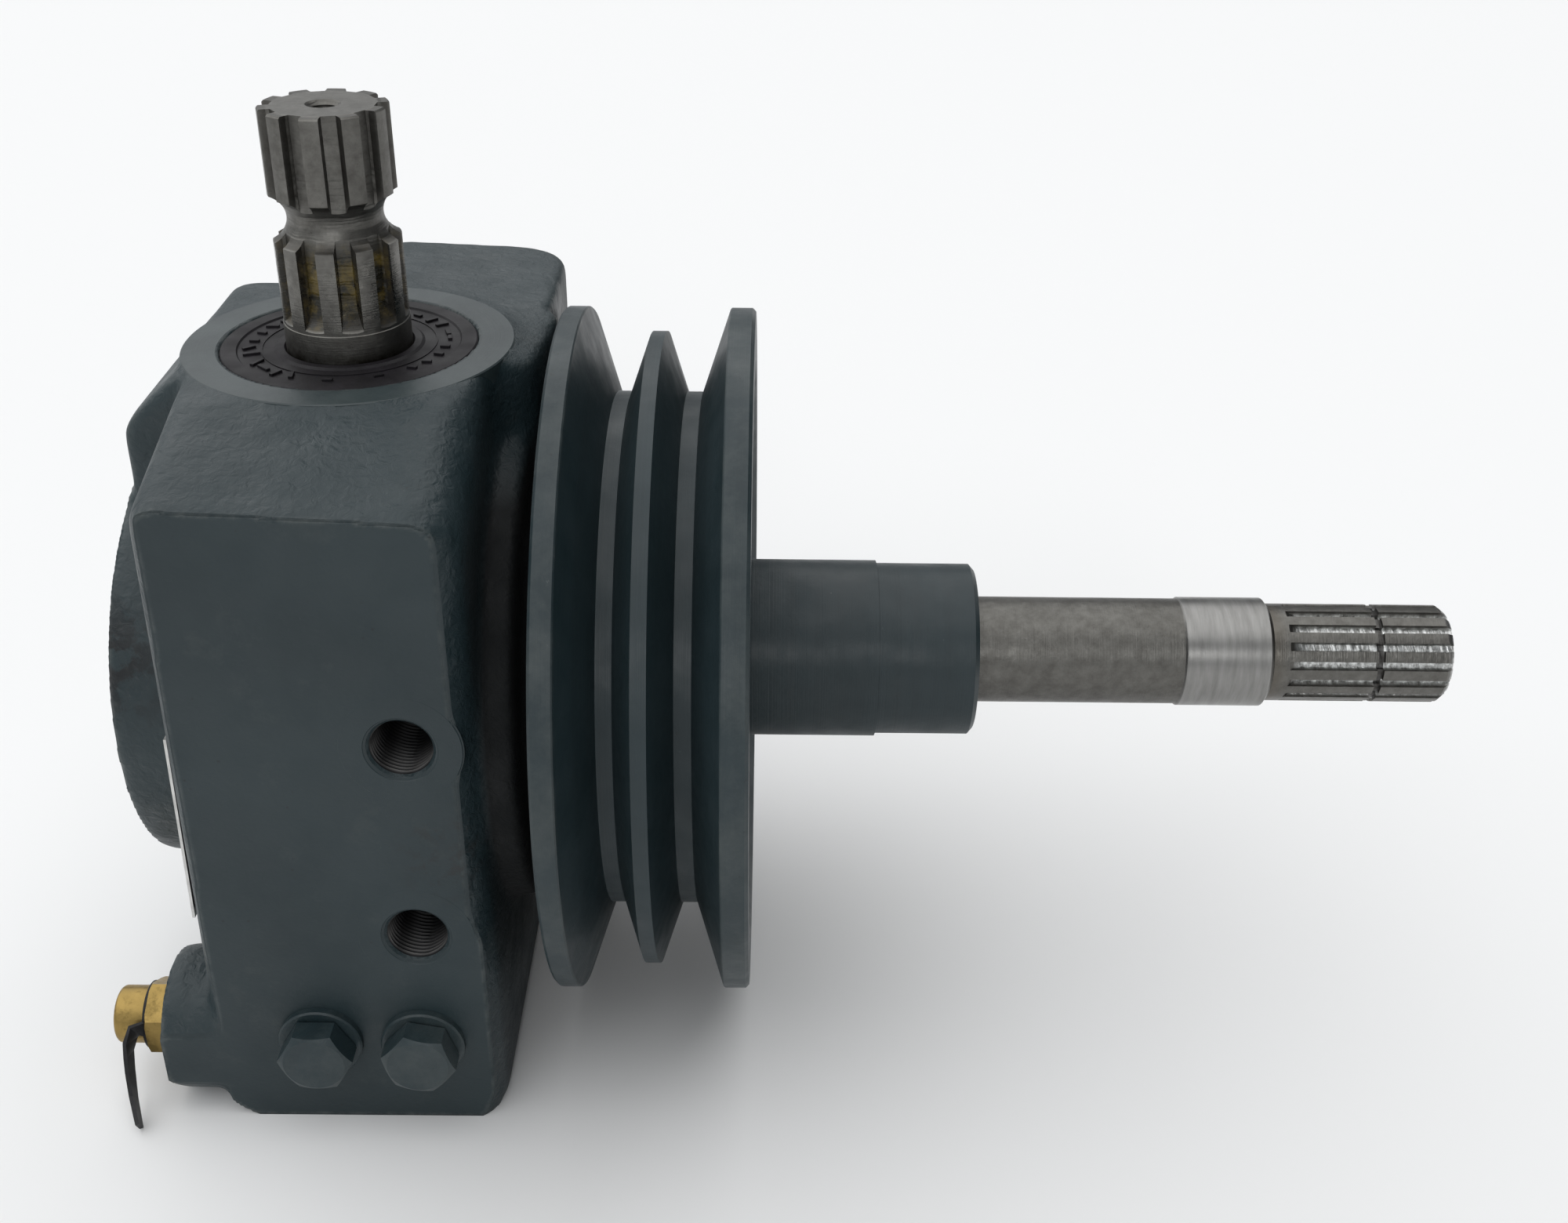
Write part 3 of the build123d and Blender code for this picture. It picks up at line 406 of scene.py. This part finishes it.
def plain_metal(name, color, rough, noise_scale=200, dirt=0.0):
    """Metal with small changes of tone, and dark patches where it is dirty."""
    s = Shader(name)
    p = s.coords()
    base = s.mix(s.ramp(s.noise(p, noise_scale, 5, 0.6), 0.35, 0.65), tuple(c * 0.72 for c in color), color)
    if dirt:
        patch = s.ramp(s.noise(p, noise_scale * 0.7, 6, 0.75), 0.50, 0.66)
        base = s.tint(base, patch, dirt, tuple(c * 0.22 for c in color))
    rough = s.ramp(s.noise(p, noise_scale * 2, 3), 0.3, 0.7, rough - 0.06, rough + 0.08)
    s.set(Base_Color=base, Metallic=1.0, Roughness=rough,
          Normal=s.bump(s.noise(p, noise_scale * 4, 3), 0.00005, 0.4))
    return s.material


def thread_iron():
    """Oily cut thread of the ports: pale crests and near-black roots, with painted shade that darkens the
    crests deeper in the port.
    """
    s = Shader("thread_iron")
    p = s.coords()
    x, y, z = s.split(p)
    radii = [s.length(s.minus(x, port["pos_m"][0]), s.minus(z, port["pos_m"][2])) for port in PORTS]
    crest = s.fade(s.math("MINIMUM", *radii), PORT_RADIUS + 0.10 * mm, PORT_RADIUS + 0.55 * mm)
    # painted shade: the pale crests fade towards near black deeper in the port
    depth = s.ramp(y, PAD_Y + 3 * mm, PAD_Y + 15 * mm, 1.0, 0.12)
    base = s.tint((0.004, 0.004, 0.005), crest, depth, (0.095, 0.092, 0.090))
    s.set(Base_Color=base, Metallic=0.6, Roughness=s.ramp(s.noise(p, 300, 4), 0.3, 0.7, 0.40, 0.55))
    return s.material


def rubber(name, color, rough):
    """Black rubber with paler, worn patches."""
    s = Shader(name)
    p = s.coords()
    base = s.mix(s.ramp(s.noise(p, 130, 6, 0.7), 0.45, 0.72), color, tuple(c * 2.4 for c in color))
    rough = s.ramp(s.noise(p, 90, 4), 0.3, 0.7, rough - 0.1, rough + 0.1)
    s.set(Base_Color=base, Roughness=rough, Normal=s.bump(s.noise(p, 500, 5, 0.6), 0.0001, 0.5),
          Specular_IOR_Level=RUBBER_SPECULAR)
    return s.material


PAINT = paint_cast()
# the port paint has neither the worn edges nor their painted highlight
PAINT_FLAT = paint_cast("paint_port", edge_wear_and_highlight=0.0)
PAINT_TURNED = paint_turned()
PAINT_STEEL = paint_turned("paint_fasteners", tone=1.12)
PAINT_RING = paint_machined_ring()
CROSS_STEEL = cross_steel()
THREAD = thread_iron()
SEAL = rubber("seal_rubber", (0.0060, 0.0050, 0.0065), 0.58)

SLOT_MATERIALS = {
    "painted_cast": PAINT,
    "painted_pulley": PAINT_TURNED,
    "painted_steel": PAINT_STEEL,
    "shaft_steel": CROSS_STEEL,
    "gear_steel": plain_metal("gear_steel", (0.28, 0.28, 0.28), 0.3),
    "bearing_steel": plain_metal("bearing_steel", (0.5, 0.5, 0.5), 0.2),
    "spring_steel": plain_metal("spring_steel", (0.12, 0.12, 0.12), 0.4),
    "plate_aluminium": plain_metal("plate_aluminium", (0.66, 0.66, 0.64), 0.35),
    "brass": plain_metal("brass", (0.36, 0.250, 0.085), 0.38, noise_scale=260, dirt=0.6),
    "seal_rubber": SEAL,
    "strap_rubber": rubber("strap_rubber", (0.010, 0.010, 0.011), 0.52),
}
for part in frame["record"]["subparts"]:
    node = frame["nodes"][part["node"]]
    node.data.materials.clear()
    node.data.materials.append(SLOT_MATERIALS[part["material_slot"]])
frame["nodes"]["input_shaft"].data.materials[0] = input_steel()
frame["nodes"]["left_cover"].data.materials[0] = PAINT_FLAT


# ---- turned pieces ----
def tidy(obj, angle=34.0):
    """Outward normals, and sharp edges where faces meet at more than an angle."""
    shape = bmesh.new()
    shape.from_mesh(obj.data)
    bmesh.ops.recalc_face_normals(shape, faces=shape.faces)
    shape.to_mesh(obj.data)
    shape.free()
    obj.data.shade_smooth()
    obj.data.set_sharp_from_angle(angle=math.radians(angle))
    return obj


def lathe(name, outline, place, steps=160):
    """A closed (radius, height) outline turned about the local Z of a placing matrix."""
    verts = []
    for k in range(steps):
        turn = 2 * math.pi * k / steps
        verts += [place @ Vector((r * math.cos(turn), r * math.sin(turn), h)) for r, h in outline]
    count = len(outline)
    faces = [(k * count + i, k * count + (i + 1) % count,
              (k + 1) % steps * count + (i + 1) % count, (k + 1) % steps * count + i)
             for k in range(steps) for i in range(count)]
    return tidy(mesh_from(name, verts, faces))


def add_to_case(obj, slot, *materials):
    for material in materials:
        obj.data.materials.append(material)
    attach(obj, CASE)


# ---- housing casting ----
PORT_DEPTH = 26 * mm
PORT_POCKET = PORT_RADIUS + 2.9 * mm
PORT_PROUD = 0.04 * mm
LOBE_RADIUS = PORT_RADIUS + 8.8 * mm
LOBE_DEPTH = 9 * mm
THREAD_PITCH = 1.5 * mm
THREAD_DEPTH = 0.85 * mm
THREAD_CHAMFER = 1.8 * mm
RING_RADIUS = 46.5 * mm
RING_DEPTH = 5 * mm
BOSS_BORE = 56 * mm
BOSS_RIM = 62.6 * mm
BOSS_RIM_DEPTH = 2.4 * mm
# a machined face stands this far proud of the casting, whose own face lies in the same plane
FACE_PROUD = 0.05 * mm
# bores that keep their place while the skin is relaxed: radius, and the level they reach to
INPUT_BORE = 37.5 * mm
INPUT_BORE_LEVEL = CROSS_Z + 50 * mm
RIGHT_BORE = 44 * mm
RIGHT_BORE_LEVEL = 50 * mm
LEFT_BORE_LEVEL = BOSS_FACE + 20 * mm
PORT_LEVEL = PAD_Y + 30 * mm
BREATHER_SEAT_X = breather_high[0] - 17 * mm
BREATHER_SEAT_RADIUS = 24 * mm
VOXEL = 1.15 * mm
RELAX_ROUNDS = 22

BOSS_PLACE = Matrix.Translation((BOSS_FACE, 0, CROSS_Z)) @ Matrix.Rotation(-math.pi / 2, 4, "Y")


def port_place(port):
    x, _, z = port["pos_m"]
    return Matrix.Translation((x, PAD_Y, z)) @ Matrix.Rotation(math.pi / 2, 4, "X")


def cutter(name, radius, length, place):
    """A plain cylinder that starts at the placing matrix and runs back along its local -Z."""
    axis = 0.01 * mm
    above = 2 * mm
    return lathe(name, [(axis, above), (radius, above), (radius, -length), (axis, -length)], place, 48)


def smooth_casting(mesh, rounds):
    """Relax the skin; machined planes keep their own coordinate, bores and seats stay where they are."""
    count = len(mesh.vertices)
    place = np.empty(count * 3)
    mesh.vertices.foreach_get("co", place)
    place = place.reshape(count, 3)
    edges = np.empty(len(mesh.edges) * 2, dtype=np.int64)
    mesh.edges.foreach_get("vertices", edges)
    a, b = edges.reshape(-1, 2).T
    ends, others = np.concatenate((a, b)), np.concatenate((b, a))
    links = np.maximum(np.bincount(ends, minlength=count), 1)
    start = place.copy()
    x, y, z = start.T
    from_input = np.hypot(x, y)
    from_cross = np.hypot(y, z - CROSS_Z)
    from_breather = np.hypot(y - (breather_low[1] + breather_high[1]) / 2,
                             z - (breather_low[2] + breather_high[2]) / 2)
    fixed = (from_input < INPUT_BORE) & (z > INPUT_BORE_LEVEL)
    fixed |= (from_cross < BOSS_BORE + 2.5 * mm) & (x < LEFT_BORE_LEVEL)
    fixed |= (from_cross < RIGHT_BORE) & (x > RIGHT_BORE_LEVEL)
    for port in PORTS:
        from_port = np.hypot(x - port["pos_m"][0], z - port["pos_m"][2])
        fixed |= (from_port < PORT_POCKET + 1.5 * mm) & (y < PORT_LEVEL)
    near = 0.7 * mm
    on_breather_seat = (np.abs(x - BREATHER_SEAT_X) < near) & (from_breather < BREATHER_SEAT_RADIUS)
    planes = ((0, on_breather_seat, BREATHER_SEAT_X),
              (1, np.abs(y - PAD_Y) < near, PAD_Y),
              (2, z < near, 0.0),
              (2, (np.abs(z - RING_TOP) < near) & (from_input < RING_RADIUS), RING_TOP),
              (0, x < BOSS_FACE + near, BOSS_FACE))
    for _ in range(rounds):
        mean = np.stack([np.bincount(ends, weights=place[others, k], minlength=count) / links
                         for k in range(3)], 1)
        place += 0.5 * (mean - place)
        place[fixed] = start[fixed]
        for axis, mask, level in planes:
            place[mask, axis] = level
    mesh.vertices.foreach_set("co", place.reshape(-1))
    mesh.update()


def casting():
    """The housing with foundry blends: pockets cut for the machined inserts, remeshed and relaxed."""
    obj = new_object("housing_casting", frame["nodes"]["housing"].data.copy())
    cutters = [cutter("port_cutter", PORT_POCKET, PORT_DEPTH + 1 * mm, port_place(port)) for port in PORTS]
    cutters.append(cutter("boss_cutter", BOSS_BORE + 1.5 * mm, 2.5 * mm, BOSS_PLACE))
    for tool in cutters:
        cut = obj.modifiers.new("cut", "BOOLEAN")
        cut.operation = "DIFFERENCE"
        cut.solver = "EXACT"
        cut.object = tool
    remesh = obj.modifiers.new("remesh", "REMESH")
    remesh.mode = "VOXEL"
    remesh.voxel_size = VOXEL
    apply_modifiers(obj)
    for tool in cutters:
        bpy.data.objects.remove(tool)
    smooth_casting(obj.data, RELAX_ROUNDS)
    obj.data.shade_smooth()
    obj.data.materials.clear()
    obj.data.materials.append(PAINT)
    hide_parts("housing")
    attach(obj, CASE)


def port_insert(port, name):
    """Face, chamfer and helical thread of one port, as a closed sleeve set in the casting's pocket."""
    steps = 72
    rows_per_pitch = 6
    rows = int(round((PORT_DEPTH - THREAD_CHAMFER) / (THREAD_PITCH / rows_per_pitch)))
    place = port_place(port)
    verts, faces, kinds = [], [], []

    def loop(height, radius_at):
        for k in range(steps):
            turn = 2 * math.pi * k / steps
            r = radius_at(turn)
            verts.append(place @ Vector((r * math.cos(turn), r * math.sin(turn), height)))

    def thread_at(height):
        def radius_at(turn):
            phase = (height / THREAD_PITCH + turn / (2 * math.pi)) % 1.0
            return PORT_RADIUS + THREAD_DEPTH * (1.0 - abs(2.0 * phase - 1.0))
        return radius_at

    # painted outline from the bottom of the pocket to the chamfer, with narrow rows near both rims
    mouth = PORT_RADIUS + THREAD_CHAMFER
    painted = ((PORT_POCKET, -PORT_DEPTH), (PORT_POCKET, -LOBE_DEPTH),
               (LOBE_RADIUS, -LOBE_DEPTH), (LOBE_RADIUS, -0.5 * mm),
               (LOBE_RADIUS - 0.5 * mm, PORT_PROUD), (LOBE_RADIUS - 1.1 * mm, PORT_PROUD),
               (LOBE_RADIUS - 1.7 * mm, PORT_PROUD), (mouth + 1.3 * mm, PORT_PROUD),
               (mouth + 0.7 * mm, PORT_PROUD), (mouth + 0.15 * mm, PORT_PROUD),
               (mouth - 0.1 * mm, -0.2 * mm))
    for radius, height in painted:
        loop(height, lambda turn: radius)
    for row in range(rows + 1):
        height = -THREAD_CHAMFER - (PORT_DEPTH - THREAD_CHAMFER) * row / rows
        loop(height, thread_at(height))
    total = len(painted) + rows + 1
    for row in range(total - 1):
        for k in range(steps):
            j = (k + 1) % steps
            faces.append((row * steps + k, row * steps + j, (row + 1) * steps + j, (row + 1) * steps + k))
            kinds.append(0 if row < len(painted) else 1)
    faces.append(tuple((total - 1) * steps + k for k in range(steps)))
    faces.append(tuple(reversed(range(steps))))
    kinds += [1, 1]
    obj = tidy(mesh_from(name, verts, faces), 40)
    add_to_case(obj, "painted_cast", PAINT_FLAT, THREAD)
    obj.data.polygons.foreach_set("material_index", kinds)


def input_ring():
    """Turned face of the ring boss, with a small chamfer towards the seal bore."""
    top = RING_TOP + FACE_PROUD
    foot = top - RING_DEPTH
    bore = SEAL_RADIUS + 0.05 * mm
    outer_edge, bore_edge = 0.35 * mm, 0.9 * mm
    outline = [(RING_RADIUS, foot), (RING_RADIUS, top - outer_edge), (RING_RADIUS - outer_edge, top),
               (bore + bore_edge, top), (bore, top - bore_edge), (bore, foot)]
    add_to_case(lathe("ring_face", outline, Matrix.Identity(4)), "painted_cast", PAINT_RING)


def boss_ring():
    """Turned rim of the left boss, round the recessed cover."""
    edge = 0.8 * mm
    outline = [(BOSS_RIM, -BOSS_RIM_DEPTH), (BOSS_RIM, FACE_PROUD), (BOSS_BORE + edge, FACE_PROUD),
               (BOSS_BORE, -edge), (BOSS_BORE, -BOSS_RIM_DEPTH)]
    add_to_case(lathe("left_boss_rim", outline, BOSS_PLACE), "painted_cast", PAINT_STEEL)


def seal_marks():
    """Plain raised dashes and a fine bead moulded on the seal's face."""
    shape = bmesh.new()
    face = SEAL_TOP - 0.5 * mm
    width, thickness = 1.25 * mm, 1.2 * mm
    rng = random.Random(4)
    angles = [centre + step for centre in (8, 190) for step in range(-48, 49, 12)] + [90, 245, 270, 296]
    for angle in angles:
        turn = math.radians(angle + rng.uniform(-2.0, 2.0))
        length = rng.choice((2.8, 3.8, 4.8)) * mm
        skew = rng.choice((0.0, 0.0, math.pi / 2, 0.5))
        middle = rng.uniform(27.2, 28.2) * mm
        place = (Matrix.Rotation(turn, 4, "Z") @ Matrix.Translation((middle, 0, face))
                 @ Matrix.Rotation(skew, 4, "Z") @ Matrix.Diagonal((length, width, thickness, 1)))
        bmesh.ops.create_cube(shape, size=1.0, matrix=place)
    bmesh.ops.bevel(shape, geom=shape.edges[:], offset=0.08 * mm, segments=1, affect="EDGES")
    mesh = bpy.data.meshes.new("seal_marks")
    shape.to_mesh(mesh)
    shape.free()
    add_to_case(tidy(new_object("seal_marks", mesh)), "seal_rubber", SEAL)
    inner, outer, low, high = 24.2 * mm, 24.6 * mm, face - 0.1 * mm, face + 0.16 * mm
    bead = [(outer, low), (outer, high), (inner, high), (inner, low)]
    add_to_case(lathe("seal_bead", bead, Matrix.Identity(4)), "seal_rubber", SEAL)


casting()
for number, port in enumerate(PORTS):
    port_insert(port, "port_sleeve_%d" % (number + 1))
input_ring()
boss_ring()
seal_marks()


# ---- camera, light and floor ----
def camera():
    """Camera in front of the object and above it, with a slight roll."""
    data = bpy.data.cameras.new("camera")
    data.sensor_width = 36.0
    data.lens = 40.29084
    data.clip_start = 0.01
    place = Vector((0.1199, -0.4720, 0.2817 + CROSS_Z))
    yaw, pitch, roll = (math.radians(a) for a in (0.565, 29.676, -0.871))
    forward = Vector((math.sin(yaw) * math.cos(pitch), math.cos(yaw) * math.cos(pitch), -math.sin(pitch)))
    level = Vector((math.cos(yaw), -math.sin(yaw), 0.0))
    down = forward.cross(level)
    right = math.cos(roll) * level + math.sin(roll) * down
    up = math.sin(roll) * level - math.cos(roll) * down
    basis = Matrix((right, up, -forward)).transposed().to_4x4()
    obj = new_object("camera", data)
    obj.matrix_world = Matrix.Translation(place) @ basis
    bpy.context.scene.camera = obj


def sun_light(name, toward, strength, angle):
    data = bpy.data.lights.new(name, "SUN")
    data.energy = strength
    data.angle = math.radians(angle)
    obj = new_object(name, data)
    obj.matrix_world = Vector(toward).to_track_quat("-Z", "Y").to_matrix().to_4x4()


def studio():
    """A broad overhead light from behind the left shoulder, and a dim room that is darkest on the right."""
    world = bpy.data.worlds.new("studio")
    world.use_nodes = True
    tree = world.node_tree

    def ramp(value, *numbers):
        node = tree.nodes.new("ShaderNodeMapRange")
        tree.links.new(value, node.inputs["Value"])
        for key, number in zip(("From Min", "From Max", "To Min", "To Max"), numbers):
            node.inputs[key].default_value = number
        return node.outputs[0]

    split = tree.nodes.new("ShaderNodeSeparateXYZ")
    tree.links.new(tree.nodes.new("ShaderNodeTexCoord").outputs["Generated"], split.inputs[0])
    total = tree.nodes.new("ShaderNodeMath")
    tree.links.new(ramp(split.outputs[0], -0.1, 0.75, 0.34, 0.06), total.inputs[0])
    tree.links.new(ramp(split.outputs[1], -0.15, -0.85, 0.0, 0.13), total.inputs[1])
    background = tree.nodes["Background"]
    background.inputs[0].default_value = (0.93, 0.97, 1.0, 1)
    tree.links.new(total.outputs[0], background.inputs[1])
    bpy.context.scene.world = world
    sun_light("overhead", toward=(0.30, -0.20, -1.0), strength=2.7, angle=110)
    sun_light("front", toward=(-0.05, 1.0, -0.45), strength=0.42, angle=14)
    half = 9
    corners = [(-half, -half, 0), (half, -half, 0), (half, half, 0), (-half, half, 0)]
    floor = mesh_from("floor", corners, [(0, 1, 2, 3)])
    s = Shader("floor")
    s.set(Base_Color=(0.84, 0.84, 0.84, 1), Roughness=0.9)
    floor.data.materials.append(s.material)
    bpy.context.scene.view_settings.view_transform = "Standard"


camera()
studio()
